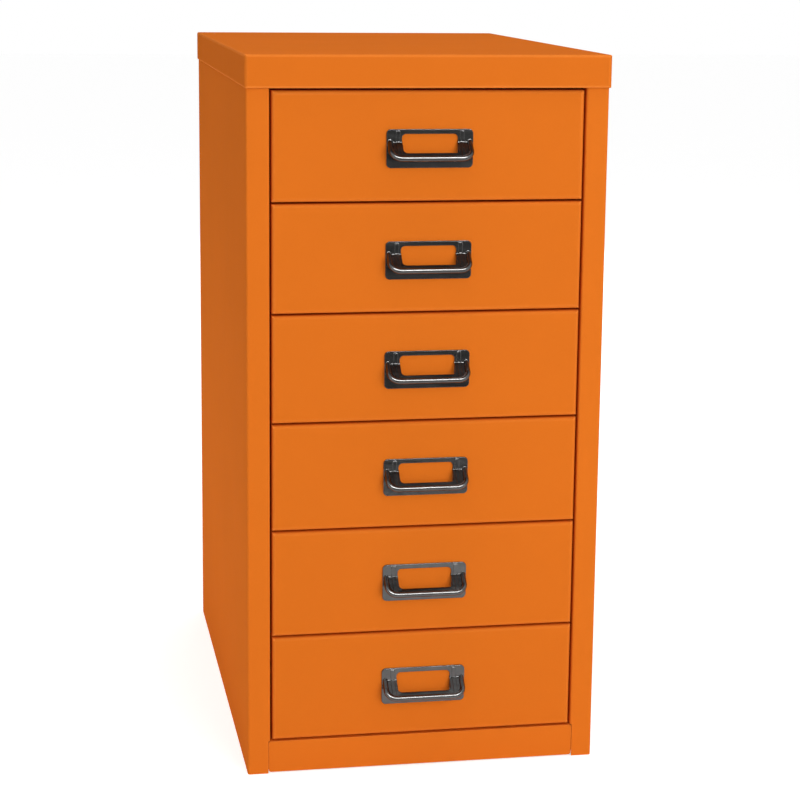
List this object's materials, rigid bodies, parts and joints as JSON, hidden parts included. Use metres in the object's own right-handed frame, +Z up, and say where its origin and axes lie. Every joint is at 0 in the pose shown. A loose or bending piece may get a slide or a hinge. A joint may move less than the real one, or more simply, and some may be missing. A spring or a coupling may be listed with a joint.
{
  "type": "drawer cabinet",
  "caption": "Free-standing sheet steel drawer cabinet: a stack of equal shallow drawers on channel runners, each front with a cast window pull, under a folded cap.",
  "frame": {"origin": "centre of the bottom of the overall box, pulls included, on the floor", "axes": "+X to the right seen from the front, +Y to the back, so the drawers open along -Y, +Z up"},
  "size_m": [0.2944, 0.4574, 0.59],
  "materials": {
    "body_paint": "satin powder coat, fine orange peel",
    "top_paint": "satin powder coat, fine orange peel",
    "front_paint": "satin powder coat, fine orange peel",
    "tray_paint": "satin powder coat, fine orange peel",
    "inside_paint": "thin satin powder coat",
    "runner_steel": "zinc plated, greased",
    "pull_metal": "bright dark nickel plate",
    "glide_nylon": "moulded nylon"
  },
  "bodies": {
    "cabinet": {"left_side": "body_paint", "right_side": "body_paint", "back_panel": "body_paint", "base_panel": "body_paint", "plinth": "body_paint", "top_rail": "body_paint", "top_cap": "top_paint", "left_front_post": "inside_paint", "left_rear_post": "inside_paint", "right_front_post": "inside_paint", "right_rear_post": "inside_paint", "left_runner_1": "runner_steel", "left_runner_2": "runner_steel", "left_runner_3": "runner_steel", "left_runner_4": "runner_steel", "left_runner_5": "runner_steel", "left_runner_6": "runner_steel", "right_runner_1": "runner_steel", "right_runner_2": "runner_steel", "right_runner_3": "runner_steel", "right_runner_4": "runner_steel", "right_runner_5": "runner_steel", "right_runner_6": "runner_steel", "runner_stops": "runner_steel"},
    "drawer_1": {"drawer_1_front": "front_paint", "drawer_1_liner": "front_paint", "drawer_1_tray": "tray_paint", "drawer_1_left_glide": "glide_nylon", "drawer_1_right_glide": "glide_nylon", "drawer_1_pull": "pull_metal"},
    "drawer_2": {"drawer_2_front": "front_paint", "drawer_2_liner": "front_paint", "drawer_2_tray": "tray_paint", "drawer_2_left_glide": "glide_nylon", "drawer_2_right_glide": "glide_nylon", "drawer_2_pull": "pull_metal"},
    "drawer_3": {"drawer_3_front": "front_paint", "drawer_3_liner": "front_paint", "drawer_3_tray": "tray_paint", "drawer_3_left_glide": "glide_nylon", "drawer_3_right_glide": "glide_nylon", "drawer_3_pull": "pull_metal"},
    "drawer_4": {"drawer_4_front": "front_paint", "drawer_4_liner": "front_paint", "drawer_4_tray": "tray_paint", "drawer_4_left_glide": "glide_nylon", "drawer_4_right_glide": "glide_nylon", "drawer_4_pull": "pull_metal"},
    "drawer_5": {"drawer_5_front": "front_paint", "drawer_5_liner": "front_paint", "drawer_5_tray": "tray_paint", "drawer_5_left_glide": "glide_nylon", "drawer_5_right_glide": "glide_nylon", "drawer_5_pull": "pull_metal"},
    "drawer_6": {"drawer_6_front": "front_paint", "drawer_6_liner": "front_paint", "drawer_6_tray": "tray_paint", "drawer_6_left_glide": "glide_nylon", "drawer_6_right_glide": "glide_nylon", "drawer_6_pull": "pull_metal"}
  },
  "joints": [
    {"name": "drawer_1_slide", "type": "slide", "parent": "cabinet", "child": "drawer_1", "axis": [0, -1, 0], "range_m": [0, 0.3]},
    {"name": "drawer_2_slide", "type": "slide", "parent": "cabinet", "child": "drawer_2", "axis": [0, -1, 0], "range_m": [0, 0.3]},
    {"name": "drawer_3_slide", "type": "slide", "parent": "cabinet", "child": "drawer_3", "axis": [0, -1, 0], "range_m": [0, 0.3]},
    {"name": "drawer_4_slide", "type": "slide", "parent": "cabinet", "child": "drawer_4", "axis": [0, -1, 0], "range_m": [0, 0.3]},
    {"name": "drawer_5_slide", "type": "slide", "parent": "cabinet", "child": "drawer_5", "axis": [0, -1, 0], "range_m": [0, 0.3]},
    {"name": "drawer_6_slide", "type": "slide", "parent": "cabinet", "child": "drawer_6", "axis": [0, -1, 0], "range_m": [0, 0.3]}
  ]
}
